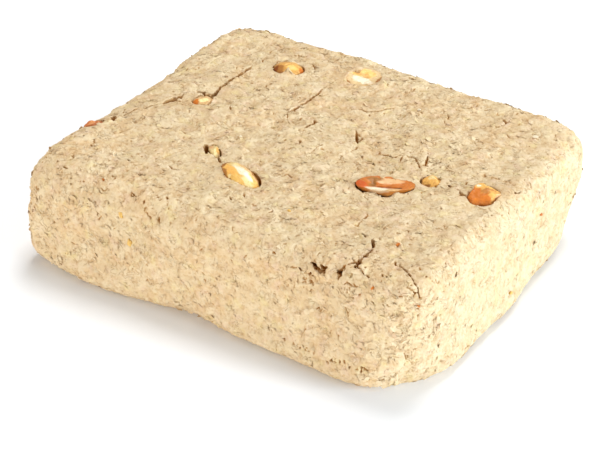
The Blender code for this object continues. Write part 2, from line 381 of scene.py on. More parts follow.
# Each crack: its width, its depth, its height, and the points that it runs through. A point of three
# numbers has a height of its own.
CRACKS = {
    "cleft": (0.7, 2.2, 32, (
        (36, -42.5, 31.5), (38, -40.5), (38, -36.5), (37.5, -33.5), (35.5, -30, 31.5))),
    "cleft left end": (0.4, 0.9, 27, ((21, -45.5), (24, -45.5, 27.5), (27, -45.5, 27.2))),
    "cleft tail": (0.8, 2, 30, ((34.8, -44), (35, -45, 28.2))),
    "cleft spur": (0.6, 1.4, 30, ((34.5, -44), (35.5, -42.8, 31))),
    "near corner": (0.45, 1.3, 32, ((46.5, -36.5), (49.5, -38.5), (51, -39.5), (54, -41.5, 31.5))),
    "near corner start": (0.5, 1, 32, ((45, -36), (46, -37.5))),
    "near corner edge": (0.45, 0.9, 30.5, ((54.5, -42), (55.5, -42, 28.5), (55, -41.5, 25.5))),
    "curl": (0.35, 0.7, 31.7, ((39, -42), (41, -43.5, 31), (43, -43.5, 30.6))),
    "zigzag": (0.4, 0.8, 27.3, ((36, -45), (37.5, -45, 28.2), (39, -45, 27.7), (41, -45, 28.5))),
    "left": (0.5, 1.2, 30.5, (
        (-53, -21, 31), (-51.5, -14.5), (-50, -10.5), (-45, -2.5, 30), (-43.5, 3.5, 30))),
    "left streak": (1.3, 2.6, 30, ((-46, -4), (-44.5, -1), (-44, 1.5))),
    "over the sliver": (0.9, 2, 30, (
        (-41.5, 6), (-39.8, 5.8), (-38.3, 5.6), (-36.7, 5), (-36.6, 5.8), (-37.3, 9), (-37.4, 11),
        (-37, 15), (-37, 20.5), (-36.5, 25.5))),
    "sliver corner": (1.1, 2.2, 30, ((-36.6, 5), (-37.3, 9))),
    "short upright": (0.5, 0.9, 30.5, ((-30, 5), (-28.5, 2.5), (-27.5, 1.5))),
    "middle": (0.65, 1.3, 30, (
        (-13.5, 25.5), (-13, 20), (-13.5, 15.5), (-14.5, 9), (-13, 6.5), (-11, 4.5))),
    "hook": (0.8, 1.5, 30.5, ((-6, 4.5), (-6, 6.5), (-5.5, 9), (-6.5, 10))),
    "small hook": (0.45, 0.8, 30.5, ((1.5, -3), (1.5, -1.5), (2.2, 0.2))),
    "beside the thin piece": (1.5, 2.6, 30.5, ((-23, -16.3), (-21.8, -18.2), (-20.8, -19.6))),
    "thin piece to kernel": (0.65, 1.3, 31, (
        (-17.5, -19), (-15.5, -21), (-13.7, -22.4), (-11.5, -24.9), (-9.3, -26.5))),
    "yellow tail": (0.5, 0.9, 30.5, ((-23, -12.5), (-23, -11), (-22, -9.5))),
    "elbow": (0.4, 0.8, 31, ((-25.5, -29.5), (-24, -30.5), (-22, -30))),
    "kernel tail": (0.45, 0.8, 31, ((-2, -19), (-1, -17.8))),
    "kernel tail further": (0.45, 0.8, 31, ((1, -19), (2, -16.5), (4, -17), (6, -15))),
    "vee": (0.75, 1.5, 30.5, ((5.5, 11.5), (7.5, 8.5), (9, 6), (8.8, 8), (8.5, 10))),
    "arc": (0.5, 1, 30.5, ((15.5, 4.5), (18, 5), (20.5, 5), (22.5, 7), (25.5, 8), (27, 6), (30, 3))),
    "arc fork": (0.45, 0.8, 30.5, ((23, 4), (22.5, 6.5))),
    "beside the arc": (0.65, 1.1, 30.5, ((29.5, 6), (28.5, 8.5), (27, 12))),
    "left of the arc": (0.45, 0.8, 30.5, ((13.5, 1), (16, 1), (18.5, -0.5))),
    "back": (0.6, 0.9, 30, ((0, 21.5), (2.5, 22), (4.5, 23), (8, 27))),
    "crumb to chunk": (0.7, 1.3, 30.5, ((37.5, 2), (41, 0.5), (45, -1, 31))),
    "below the crumb": (0.5, 0.9, 31, ((35.5, -4.5), (36, -3.5))),
    "back right": (0.5, 0.9, 30, ((34.5, 38), (36.5, 37), (37.5, 40))),
    "back right dash": (0.45, 0.8, 30, ((38.5, 31.5), (41.5, 30.5))),
    "right foot": (0.5, 0.7, 4.2, ((58, -25.2), (58, -19.4, 2.9), (58, -16.3, 2.7))),
}
STROKE_WIDTH, STROKE_DEPTH = 0.5, 0.9
# Short strokes: the height of each, where it starts and where it ends.
STROKES = (
    (31, (-0.5, -32), (-1.5, -30.5)), (31, (8.5, -35), (8.5, -33)), (31, (24, -15), (25.5, -15.5)),
    (31, (29, -27), (29, -24.5)), (31, (22.5, -20.5), (23, -18.5)), (31, (28.5, -32.5), (29.5, -31.5)),
    (31, (32.5, -30), (34, -31)), (32, (39.5, -31.5), (41, -32)), (32, (44.5, -33), (45.5, -33)),
    (30, (51, -43.5), (52, -44)), (20, (38, -45), (38.5, -45, 18.5)), (21, (-35, -48), (-34, -48, 22.5)),
)
# Holes where a lump has come away: middle, reach along X, Y and Z, depth, and how many bites made it
# and how wide they are.
HOLES = (
    ((29.5, -44.7, 29.2), (1.9, 0.5, 0.7), 3.0, 14, 1.0), ((26.8, -45.5, 27), (1.1, 0.3, 0.5), 1.8, 7, 0.8),
    ((34.7, -44, 30), (0.4, 0.6, 0.8), 3.0, 8, 1.1), ((-52.1, -17.5, 30.6), (0.6, 1.2, 0.3), 2.6, 6, 1.3),
    ((37.8, -41.8, 31.7), (0.7, 0.7, 0.3), 2.4, 6, 0.9), ((-44.8, 0, 29.9), (0.5, 1.4, 0.1), 2.4, 7, 1.1),
    ((38, -40.6, 32), (0.3, 0.8, 0.1), 2.2, 4, 1.0), ((54.8, -41.5, 25.2), (0.3, 0.3, 0.5), 1.3, 3, 0.8),
    ((-44, 0.3, 30), (0.4, 1.3, 0.1), 1.8, 5, 1.0), ((26, -45.6, 25), (1.4, 0.4, 1.4), 0.7, 6, 0.9),
    ((-39.6, 5.9, 30), (1.5, 0.3, 0.1), 3.0, 8, 1.3), ((-36.8, 6, 30), (0.3, 1.2, 0.1), 2.2, 4, 1.0),
    ((32.4, -0.6, 30.5), (0.3, 1.2, 0.1), 2.6, 5, 1.0), ((43.7, -0.8, 30.5), (0.4, 0.5, 0.1), 1.8, 3, 0.9),
    ((41, -44.8, 27), (4, 0.4, 3), 1.2, 12, 0.55), ((26, -45.8, 24), (3, 0.4, 2.5), 1.0, 8, 0.5),
    ((29, -50, 6.8), (9, 0.3, 0.6), 1.0, 18, 0.45), ((40, -49.5, 6.9), (5, 0.3, 0.6), 1.2, 14, 0.6),
)
STEP = 0.7  # length of one mark of a crack
WANDER = 0.35  # how far a crack strays from the line through its points
BITE = 0.3  # how far the ends of a bite lie from its middle


def at_height(points, height):
    """The points, each with this height where it has only X and Y."""
    return [(*point, height)[:3] for point in points]


def crack_marks(route, width, depth, seed):
    """Short marks along a crack: start, end, width and depth. They narrow at both ends and here and
    there between them."""
    places = []
    for start, end in zip(np.array(route[:-1], float), np.array(route[1:], float)):
        count = max(1, round(np.linalg.norm(end - start) / STEP))
        places += [start + (end - start) * k / count for k in range(count)]
    places = np.array(places + [route[-1]]) + CENTRING
    places += np.stack([noise_at(places, 1.6, seed + k) for k in range(3)], axis=1) * WANDER
    places = [on_skin(place)[0] for place in places]
    share = np.linspace(0, 1, len(places) - 1)
    taper = np.minimum(1, 5 * np.minimum(share, 1 - share) + 0.45)
    broken = ramp(noise_at(np.array(places[1:]), 2.2, seed + 5), -0.8, 0.1)
    return [
        (start, end, width * (0.4 + 1.1 * size), depth * (0.3 + 0.9 * size))
        for start, end, size in zip(places, places[1:], taper * broken)
    ]


marks = []
for number, (width, depth, height, route) in enumerate(CRACKS.values()):
    marks += crack_marks(at_height(route, height), width, depth, 31 + number)
for number, (height, *stroke) in enumerate(STROKES):
    marks += crack_marks(at_height(stroke, height), STROKE_WIDTH, STROKE_DEPTH, 231 + number)
for middle, reach, depth, bites, width in HOLES:
    for place in middle + CENTRING + draw.uniform(-1, 1, (bites, 3)) * reach:
        place = on_skin(place)[0]
        stretch = draw.normal(0, BITE, 3)
        size = draw.uniform(0.6, 1.1)
        marks.append((place - stretch, place + stretch, width * size, depth * size))
print("drawn cracks:", len(CRACKS) + len(STROKES), "and holes:", len(HOLES), "in", len(marks), "marks")

# %% [markdown]
# ### Small cracks and pits
#
# The small cracks and pits are too many to draw. A bump in the finish could stand for them, but
# then they would have no depth against the light. A seeded draw scatters them as more marks, the
# same ones in every run, and more of them on top and where the crust has crumbled.

# %% Scatter the small cracks and pits
# Where the crust has crumbled, or is smoother than elsewhere: middle, reach, and how much more or
# less it has of everything there.
CRUMBLED = (
    ((38, -46, 27), 13, 0.7), ((52, -44, 4), 16, 0.3), ((-8, -47, 2), 9, 0.5), ((56, -45, 22), 9, 0.5),
    ((-38, -48, 26), 12, 0.5), ((28, 8, 30), 12, 0.4), ((36, -50, 6), 14, 0.2),
    ((60, -14, 14), 22, -0.55), ((60, 28, 14), 22, -0.55),
)
SQUIGGLES, PITS = 380, 1000
SQUIGGLE_STEP = 0.5
SQUIGGLE_WIDTHS, SQUIGGLE_DEPTHS = (0.22, 0.5), (0.25, 0.65)
PIT_WIDTHS = (0.3, 0.55)
TOP_FROM, FOOT_TO = 28, 1.5  # the heights where the top begins and the foot ends
SIDE_SHARE = 0.4  # how many marks a side has against the top


def roughness_at(points):
    """1 where the crust is plain, more where it has crumbled and less where it is smooth."""
    return 1 + sum(
        gain * np.exp(-((points - CENTRING - middle) ** 2).sum(axis=1) / reach**2)
        for middle, reach, gain in CRUMBLED
    )


def scatter(count):
    """Random places of the skin above its foot, more of them on top and where it has crumbled."""
    picked = smooth_points[draw.integers(len(smooth_points), size=count * 12)]
    height = picked[:, 2]
    weight = (roughness_at(picked) / 3) ** 1.5
    weight *= np.select([height > TOP_FROM, height > FOOT_TO], (1, SIDE_SHARE), 0)
    return picked[draw.random(len(picked)) < weight][:count]


for place in scatter(SQUIGGLES):
    heading = draw.uniform(0, 2 * math.pi)
    route = [place]
    for _ in range(draw.integers(3, 9)):
        heading += draw.normal(0, 1.0)
        along = np.cross(on_skin(route[-1])[1], (math.cos(heading), math.sin(heading), 0.4))
        route.append(route[-1] + along / np.linalg.norm(along) * SQUIGGLE_STEP)
    width, depth = draw.uniform(*SQUIGGLE_WIDTHS), draw.uniform(*SQUIGGLE_DEPTHS)
    marks += crack_marks([point - CENTRING for point in route], width, depth, draw.integers(1000))
for place in scatter(PITS):
    stretch = draw.normal(0, 0.18, 3)
    width = draw.uniform(*PIT_WIDTHS) * draw.choice((1, 1, 1, 1.5))
    marks.append((place - stretch, place + stretch, width, width * draw.uniform(0.6, 1.3)))
print("marks in all:", len(marks))

# %% [markdown]
# ## Where the peanuts lie
#
# A nut that is pressed into halva sits in a pocket that follows its outline, tight on one side and
# open on the other where it has worked loose. A Boolean would cut the nut's exact shape. Here the
# crust is pushed down inside the nut's outline as seen from above, which leaves one unbroken skin.
# The outline can then be wider on one side, or drawn in where a tongue of halva laps over the nut.

# %% Pockets for the peanuts
# Each piece: its shape, its length, width and thickness, and its heading and roll in degrees.
PEANUTS = {
    "peanut_golden_whole": ("whole", (15.0, 7.0, 8.0), -21, 0),
    "peanut_split_long": ("half", (15.2, 8.0, 6.0), 28, -6),
    "peanut_curved_crumb": ("chip", (5.6, 4.2, 3.6), 38, 20),
    "peanut_skinned_chunk": ("chunk", (9.4, 9.6, 7.6), 20, 0),
    "peanut_buried_brown": ("whole", (9.4, 7.6, 6.4), 12, 10),
    "peanut_pale_half": ("half", (10.8, 9.0, 5.6), 45, 8),
    "peanut_pale_sliver": ("whole", (6.6, 4.4, 4.2), 40, 0),
    "peanut_rim_red": ("chip", (6.2, 4.0, 3.0), 76, 0),
    "peanut_thin_yellow": ("chip", (6.4, 2.8, 2.8), -41, 0),
}
# Each pocket: how far it reaches past its peanut all round, how much further on its open side, which
# way that side lies, and the tongues that lap over the peanut: direction, half-width, length and rise.
POCKETS = {
    "peanut_golden_whole": (-0.3, 0.6, 40, ((170, 25, 0.4, 0.3), (-75, 30, 0.4, 0.3))),
    "peanut_split_long": (-0.05, 0.1, 150, (
        (-100, 14, 1.0, 0.5), (70, 20, 1.1, 0.5), (-20, 14, 0.7, 0.4), (128, 12, 0.8, 0.4))),
    "peanut_curved_crumb": (0.0, 0.4, 205, ((110, 45, 1.0, 0.0), (25, 28, 0.8, 0.2))),
    "peanut_skinned_chunk": (-0.15, 0.1, -60, ((180, 34, 1.2, 0.1), (5, 32, 0.9, 0.1))),
    "peanut_buried_brown": (-0.15, 0.1, 200, ((-62, 22, 2.4, 1.3), (108, 30, 1.8, 1.2))),
    "peanut_pale_half": (-0.15, 0.3, -35, ((145, 28, 2.2, 1.3), (205, 30, 0.9, 0.5))),
    "peanut_pale_sliver": (0.0, 0.7, 125, ((35, 30, 0.9, 0.6),)),
    "peanut_rim_red": (0.0, 0.1, 60, ()),
    "peanut_thin_yellow": (0.1, 0.5, -20, ()),
}
POCKET_DEPTH = 3.2
POCKET_REACH = 4  # how far from the end of its peanut a pocket is looked for
POCKET_WOBBLE = 0.25


def inside_pockets(points):
    """How far inside the edge of the nearest pocket each point lies, in mm, or -9 where there is none, and
    how far a tongue raises the crust there, and 1 close to a peanut, falling to 0 away from all of them."""
    inside = np.full(len(points), -9.0)
    lap, close = np.zeros(len(points)), np.zeros(len(points))
    for name, (_, size, heading, _) in PEANUTS.items():
        rim, extra, open_to, tongues = POCKETS[name]
        low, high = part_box(name)
        middle = np.array((low + high) / 2) / MM
        near = np.linalg.norm(points - middle, axis=1) < size[0] / 2 + POCKET_REACH
        offset = (points[near] - middle)[:, :2]
        turn = math.radians(heading)
        along = offset @ (math.cos(turn), math.sin(turn)) / (size[0] / 2)
        across = offset @ (-math.sin(turn), math.cos(turn)) / (size[1] / 2)
        # How far each point lies beyond the peanut's own outline, and in which direction.
        ring = np.maximum(np.hypot(along, across), 0.01)
        beyond = np.hypot(*offset.T) * (1 - 1 / ring)
        angle = np.degrees(np.arctan2(offset[:, 1], offset[:, 0]))
        facing = np.cos(np.radians(angle - open_to)).clip(0) ** 2
        gap = rim + extra * facing + noise_at(points[near], 1.4, 300) * POCKET_WOBBLE
        rise = np.zeros(len(gap))
        for towards, half_width, length, height in tongues:
            apart = (angle - towards + 180) % 360 - 180
            tongue = np.exp(-((apart / half_width) ** 2))
            gap -= length * tongue
            rise = np.maximum(rise, height * tongue)
        lap[near] += rise * ramp(-beyond, -0.8, 0.6)
        inside[near] = np.maximum(inside[near], gap - beyond)
        close[near] = np.maximum(close[near], ramp(-beyond, -2.5, -0.3))
    return inside, lap, close


print("pockets:", len(POCKETS), "with", sum(len(pocket[3]) for pocket in POCKETS.values()), "tongues")

# %% [markdown]
# ## The crust
#
# The lattice is a third of a millimetre fine, which suits lumps and flakes but not a hairline
# crack. Making all of it finer would take far too many triangles, so only the squares near a mark
# or at the rim of a pocket are split in four.

# %% Split the squares near the marks and round the pockets
NEAR_MARK = 0.45


def marked_depth(points, spare):
    """How deep the marks push each point in, and whether it lies within `spare` of a mark's edge."""
    order = np.argsort(points[:, 0])
    sorted_x = points[order, 0]
    depth = np.zeros(len(points))
    near_any = np.zeros(len(points), bool)
    ragged = noise_at(points, 0.8, 160) * 0.16 + noise_at(points, 0.35, 161) * 0.06
    # Only the points between two planes across X are measured against each mark.
    for start, end, width, deep in marks:
        reach = width / 2 + spare
        low, high = min(start[0], end[0]) - reach, max(start[0], end[0]) + reach
        near = order[slice(*np.searchsorted(sorted_x, (low, high)))]
        line = end - start
        share = np.clip((points[near] - start) @ line / max(line @ line, 1e-9), 0, 1)
        away = np.linalg.norm(points[near] - start - share[:, None] * line, axis=1) + ragged[near]
        depth[near] = np.maximum(depth[near], deep * ramp(-away, -width / 2, 0.05))
        near_any[near] |= away < reach
    return depth, near_any


def split_near_marks(mesh):
    """Splits every square near a mark or the rim of a pocket in four."""
    points = array_of(mesh, "co")
    _, near = marked_depth(points, NEAR_MARK)
    near |= abs(inside_pockets(points)[0]) < 2 * NEAR_MARK
    bm = bmesh.new()
    bm.from_mesh(mesh)
    edges = {edge for vert, close in zip(bm.verts, near) if close for edge in vert.link_edges}
    bmesh.ops.subdivide_edges(bm, edges=list(edges), cuts=1, use_grid_fill=True)
    bm.to_mesh(mesh)
    bm.free()


skin_mesh = smooth_mesh.copy()
split_near_marks(skin_mesh)
skin_points = array_of(skin_mesh, "co")
skin_normals = array_of(skin_mesh, "vector")
print("skin:", len(skin_points), "points")

# %% [markdown]
# ### Relief at every size
#
# Broken halva is rough at every size at once. A single noise would look like clouds or like sand,
# so the relief is a sum of layers: broad lumps, plates of crust in three sizes, rounded grains and
# drawn-out fibres. The Displace modifier could add them one by one. As arrays they can be made
# stronger where the crust has crumbled.

# %% Layers of relief
LUMP_SIZE, LUMP_HEIGHT = 13, 0.45
FIBRE_HEADINGS = (20, 75, -35, 140)


def plates(points, size, seed, step, edge, groove):
    """Plates of crust at slightly different heights, with grooves along some of their borders."""
    bent = warped(warped(points, size / 2, size * 0.3, seed), size / 5, size * 0.1, seed + 3)
    inside, own, other = cells_at(bent, size, seed)
    blend = ramp(inside, 0, edge) / 2 + 0.5
    height = (own * blend + other * (1 - blend) - 0.5) * step
    open_here = ramp(noise_at(points, size * 0.6, seed + 5), 0.05, 0.5)
    return height - groove * open_here * (1 - ramp(inside, 0, edge / 2))


def fibres(points, length, width, seed):
    """Streaks of several headings, each over its own patches of the crust."""
    total = np.zeros(len(points))
    for number, heading in enumerate(FIBRE_HEADINGS):
        turn = math.radians(heading)
        along = points[:, 0] * math.cos(turn) + points[:, 1] * math.sin(turn)
        across = points[:, 1] * math.cos(turn) - points[:, 0] * math.sin(turn)
        drawn = np.stack([along * width / length, across, points[:, 2]], axis=1)
        patch = ramp(noise_at(points, 9, seed + 20 + number), -0.2, 0.3)
        total += noise_at(drawn, width, seed + number) * patch
    return total


def grains(points, size, seed):
    """Rounded grains side by side."""
    inside, own, _ = cells_at(warped(points, size, size * 0.4, seed), size, seed)
    return np.sqrt(np.clip(inside / size * 2.2, 0, 1)) * (0.6 + 0.8 * own) - 0.7


rough = roughness_at(skin_points)
lumps = np.array([noise.noise(place) for place in ((skin_points - CENTRING) / LUMP_SIZE).tolist()])
relief = (
    lumps * LUMP_HEIGHT
    + plates(skin_points, size=11, seed=101, step=0.6, edge=1.0, groove=0.3)
    + plates(skin_points, size=4.5, seed=102, step=0.5, edge=0.4, groove=0.3) * rough
    + plates(skin_points, size=2.4, seed=104, step=0.3, edge=0.35, groove=0.15) * rough
    + noise_at(skin_points, size=3.2, seed=151) * 0.2
    + grains(skin_points, size=1.5, seed=103) * 0.08 * rough**1.4
    + noise_at(skin_points, size=0.9, seed=150) * 0.06 * rough
    + fibres(skin_points, length=2.4, width=1.0, seed=140) * 0.04
)
print("relief, mm: from", relief.min().round(2), "to", relief.max().round(2))

# %% [markdown]
# ### One skin with everything on it
#
# Each point of the skin moves along the direction that it faces: out by the relief, by the lumps
# behind the cracks and by the tongues over the nuts, and in by its crack or pocket. Close to a nut
# the relief is calmer, so that the rim of its pocket stays whole. How hollow each place is, and
# whether it is a crest, stays on the mesh for the finish, which paints the hollows darker as painted
# shade and the crest places paler as a painted highlight. Decimate then takes triangles out of what
# is nearly flat and leaves those that draw an edge, which a coarser lattice couldn't do.

# %% Put the relief and the marks on the skin
MOST_TRIANGLES = 197000
CALM_HEIGHT = 3  # the relief dies out over this height above the floor
CALM_AT_NUTS = 0.8  # how much of the relief goes close to a peanut
FULL_HOLLOW = 0.7  # a place this deep counts as wholly hollow
FULL_CREST = 0.12  # a place this far above those round it counts as a full crest
# Lumps that stand up behind a crack or a hole, and dips: middle, reach and height.
LEDGES = (
    ((-46, 8, 30), (7, 5.5, 4), 0.8), ((-41, 14, 30), (3, 7, 4), 0.4), ((33, -40, 31), (5, 3.5, 4), 0.3),
    ((2, 27, 30), (7, 3.5, 4), 0.5), ((-54, -13, 29.5), (5, 5, 5), -1.2),
    ((35.4, -1.6, 30.5), (3, 1.8, 3), -0.7), ((27.8, -11.8, 30.5), (6, 3, 3), -0.9),
    ((49.5, -4, 31), (4, 2, 3), -0.5),
)

depth, _ = marked_depth(skin_points, 0)
inside, lap, close = inside_pockets(skin_points)
depth = np.maximum(depth, ramp(inside, -0.1, 0.45) * POCKET_DEPTH)
ledges = np.zeros(len(skin_points))
for middle, reach, height in LEDGES:
    away = (skin_points - CENTRING - middle) / reach
    ledges += height * np.exp(-(away**2).sum(axis=1))
calm = np.clip(skin_points[:, 2] / CALM_HEIGHT, 0, 1)
push = (relief * (1 - CALM_AT_NUTS * close) + ledges + lap - depth) * calm
skin_points += skin_normals * push[:, None]
skin_points[:, 2] = np.maximum(skin_points[:, 2], 0)
inner_low, inner_high = (np.array(corner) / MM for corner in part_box("halva_block"))
skin_points = np.clip(skin_points, inner_low, inner_high)
skin_mesh.vertices.foreach_set("co", (skin_points * MM).astype(np.float32).ravel())
hollow = np.clip(depth / FULL_HOLLOW, 0, 1)


def smoothed(mesh, values, rounds):
    """The values, each averaged with those of its neighbours, `rounds` times."""
    ends = np.empty(len(mesh.edges) * 2, np.int32)
    mesh.edges.foreach_get("vertices", ends)
    first, second = ends.reshape(-1, 2).T
    count = len(values)
    neighbours = np.bincount(first, minlength=count) + np.bincount(second, minlength=count)
    for _ in range(rounds):
        total = np.bincount(first, values[second], count) + np.bincount(second, values[first], count)
        values = (values + total) / (neighbours + 1)
    return values


crest = np.clip((relief - smoothed(skin_mesh, relief, 8)) / FULL_CREST, -1, 1)
for name, column in (("hollow", hollow), ("crest", crest)):
    stored = skin_mesh.attributes.new(name, "FLOAT", "POINT")
    stored.data.foreach_set("value", column.astype(np.float32))
skin_mesh.update()


def thinned(mesh, most):
    """The mesh with its flattest triangles merged until `most` are left."""
    holder = link(bpy.data.objects.new("holder", mesh))
    triangles = sum(len(face.vertices) - 2 for face in mesh.polygons)
    modifier = holder.modifiers.new("thin", "DECIMATE")
    modifier.ratio = min(1, most / triangles)
    modifier.use_collapse_triangulate = True
    graph = bpy.context.evaluated_depsgraph_get()
    result = bpy.data.meshes.new_from_object(holder.evaluated_get(graph), depsgraph=graph)
    bpy.data.objects.remove(holder)
    return result


crust_mesh = thinned(skin_mesh, MOST_TRIANGLES)
crust_mesh.shade_smooth()
crust = add_piece("halva_crust", crust_mesh, "halva", "halva_block")

# %% [markdown]
# ## Threads, flakes and grains
#
# What makes halva look like halva is finer than the crust's lattice: broken ends of the sugar
# threads, flakes that have come half loose, and grains of seed. A particle system would scatter
# them, but particles don't survive an export. Here each kind is one real mesh of many little closed
# shapes, each a belt of corners between two tips. Most lie flat and half sunk, all with the same
# drift, as if a hand had smeared them. Where the crust has crumbled they are larger and stand up.

# %% Find places for them
LITTER_FROM = 1  # no litter below this height
NOT_SUNK = 0.3  # and none where the crust is more hollow than this


def places_on(mesh, count):
    """Random places on the crust and their normals: none at the foot or in a hollow."""
    mesh.calc_loop_triangles()
    corners = np.empty(len(mesh.loop_triangles) * 3, np.int32)
    mesh.loop_triangles.foreach_get("vertices", corners)
    corners = corners.reshape(-1, 3)
    points = array_of(mesh, "co")
    sunk = np.empty(len(points), np.float32)
    mesh.attributes["hollow"].data.foreach_get("value", sunk)
    origin = points[corners[:, 0]]
    sides = points[corners[:, 1:]] - origin[:, None]
    square = np.cross(sides[:, 0], sides[:, 1])
    area = np.linalg.norm(square, axis=1)
    weight = area * roughness_at(origin) ** 0.7
    weight *= (sunk[corners].max(axis=1) < NOT_SUNK) & (origin[:, 2] > LITTER_FROM) & (area > 0)
    picked = draw.choice(len(corners), size=count, p=weight / weight.sum())
    shares = np.sort(draw.random((count, 2)), axis=1)
    shares = np.diff(shares, axis=1, prepend=0)
    places = origin[picked] + (sides[picked] * shares[:, :, None]).sum(axis=1)
    return places, square[picked] / area[picked][:, None]


def unit(vectors):
    return vectors / np.linalg.norm(vectors, axis=1)[:, None]


# %% Scatter little closed shapes over the crust
DRIFT = (-0.3, 1, 0.35)  # across the way that most threads run
TURN_SPREAD = 0.9  # how far their headings stray from that, in radians
CLEAR_OF_MARKS = 0.35
# Each kind: how many at most, and how many corners each has round its belt, then the smallest and
# largest length, width and thickness, and how much they tilt.
LITTER = {
    "halva_threads": (1500, 4, (0.8, 2.0), (0.4, 0.7), (0.12, 0.24), 0.08),
    "halva_flakes": (7000, 6, (0.9, 2.6), (0.8, 1.8), (0.1, 0.22), 0.06),
    "halva_grains": (9000, 5, (0.4, 0.8), (0.35, 0.7), (0.16, 0.34), 0.25),
}


def scattered(name, count, belt, lengths, widths, thicknesses, tilt):
    """One mesh of up to `count` closed shapes on the crust."""
    places, up = places_on(crust_mesh, count)
    _, near = marked_depth(places, CLEAR_OF_MARKS)
    clear = ~near & (inside_pockets(places)[0] < -CLEAR_OF_MARKS)
    places, up = places[clear], up[clear]
    count = len(places)
    gain = roughness_at(places) ** 0.4
    size = [draw.uniform(*limits, count) * gain / 2 for limits in (lengths, widths, thicknesses)]
    turn = draw.normal(0, TURN_SPREAD, count)[:, None]
    across = unit(np.cross(up, DRIFT))
    along = across * np.cos(turn) + np.cross(up, across) * np.sin(turn)
    lean = (draw.normal(0, tilt, count) * gain)[:, None]
    up, along = unit(up + along * lean), unit(along - up * lean)
    across = np.cross(up, along)

    corners = []
    for k in range(belt):
        angle = 2 * math.pi * (k + draw.uniform(-0.2, 0.2, count)) / belt
        reach = draw.uniform(0.75, 1.15, count)
        corners.append(
            places
            + along * (np.cos(angle) * reach * size[0])[:, None]
            + across * (np.sin(angle) * reach * size[1])[:, None]
            + up * (draw.uniform(-0.4, 0.4, count) * size[2])[:, None]
        )
    for side in (1, -1):
        corners.append(places + up * (side * size[2])[:, None])
    points = np.stack(corners, axis=1).reshape(-1, 3)
    ring = [(k, (k + 1) % belt) for k in range(belt)]
    shape = [(a, b, belt) for a, b in ring] + [(b, a, belt + 1) for a, b in ring]
    faces = (np.arange(count)[:, None, None] * (belt + 2) + shape).reshape(-1, 3)
    tint = np.repeat(draw.normal(0, 0.5, count), belt + 2)
    mesh = mesh_from(name, np.clip(points, inner_low, inner_high), faces, tint=tint)
    mesh.shade_flat()
    return add_piece(name, mesh, "halva")


litter = [scattered(name, *values) for name, values in LITTER.items()]

# %% [markdown]
# ## The peanuts
#
# Each piece of peanut has the form of its solid: a ball that is drawn out, slimmed to its tip,
# halved or broken off, and then stretched and turned. The solids have few faces, and here the same
# rules bend a fine ball. It keeps each point's place on that ball under the name "ball", so that a
# bit of skin or a bare white patch can be both painted and raised in the same oval of the ball.

# %% The forms of a peanut
BALL_COUNT = 26  # squares along each side of the cube that the ball is made from
TIP, RIM, DISH = 0.18, 0.35, 0.45
CHUNK_BREAKS = (
    ((1, -0.5, 0.1), 0.72), ((-1, 0.3, 0.2), 0.74), ((0.2, -1, 0.4), 0.72),
    ((0.1, 1, 0.2), 0.7), ((-0.3, -0.2, 1), 0.76), ((0.6, 0.5, 1), 0.8),
)
CHIP_BREAKS = (((-0.7, -0.2, 0.8), 0.6), ((0.8, 0.4, 0.6), 0.66), ((0, 1, -0.2), 0.7))


def whole_kernel(ball):
    """Slimmer towards the tip at +X than at its blunt end."""
    slim = 1 - TIP * ball[:, :1] * abs(ball[:, :1])
    return ball * np.hstack([np.ones_like(slim), slim, slim])


def half_kernel(ball):
    """Round below, with a rim and a dished inner face on top."""
    kernel = whole_kernel(ball)
    inner_face = RIM * kernel[:, 2] - DISH * (1 - ball[:, 0] ** 2 - ball[:, 1] ** 2)
    kernel[:, 2] = np.where(ball[:, 2] > 0, inner_face, kernel[:, 2])
    return kernel


def broken(ball, breaks):
    """A ball with flat breaks, each given as a direction and its distance from the middle."""
    for way, distance in breaks:
        square_on = np.array(way) / np.linalg.norm(way)
        ball = ball - np.outer((ball @ square_on - distance).clip(0), square_on)
    return ball


FORMS = {
    "whole": whole_kernel,
    "half": half_kernel,
    "chunk": lambda ball: broken(ball, CHUNK_BREAKS),
    "chip": lambda ball: broken(ball, CHIP_BREAKS),
}
print("forms of peanut:", ", ".join(FORMS))

# %% [markdown]
# ### Colours of the peanuts
#
# A peanut out of its shell is a patchwork: red-brown skin where it has held, gold or cream flesh
# where it has rubbed off, and dark seams between. Painting each one by hand would do, and a random
# pattern would look like marble. Here each nut has a short list of ovals from the lowest to the
# topmost, each with a colour and a rise, so what is painted is also shaped. Some ovals hold painted
# light: the brown and dark brown ones at a nut's rims are partly skin and partly painted shade, and
# the cream streak along the top of the golden kernel is partly pale flesh and partly a painted highlight.

# %% Colours of flesh and skin
CREAM = (0.92, 0.80, 0.56)
PALE_GOLD = (0.86, 0.66, 0.30)
GOLD = (0.84, 0.52, 0.14)
AMBER = (0.88, 0.48, 0.12)
TAN = (0.74, 0.46, 0.20)
SAND = (0.80, 0.56, 0.27)
PINK = (0.82, 0.48, 0.22)
OCHRE = (0.76, 0.40, 0.10)
ORANGE = (0.66, 0.19, 0.025)
RED_ORANGE = (0.60, 0.10, 0.012)
RUST = (0.55, 0.22, 0.05)
BROWN = (0.40, 0.165, 0.035)
RED_BROWN = (0.42, 0.115, 0.02)
DARK_BROWN = (0.22, 0.06, 0.01)
DULL_RED = (0.58, 0.18, 0.05)
WORN_RED = (0.68, 0.28, 0.10)
print("palest and darkest:", CREAM, DARK_BROWN)

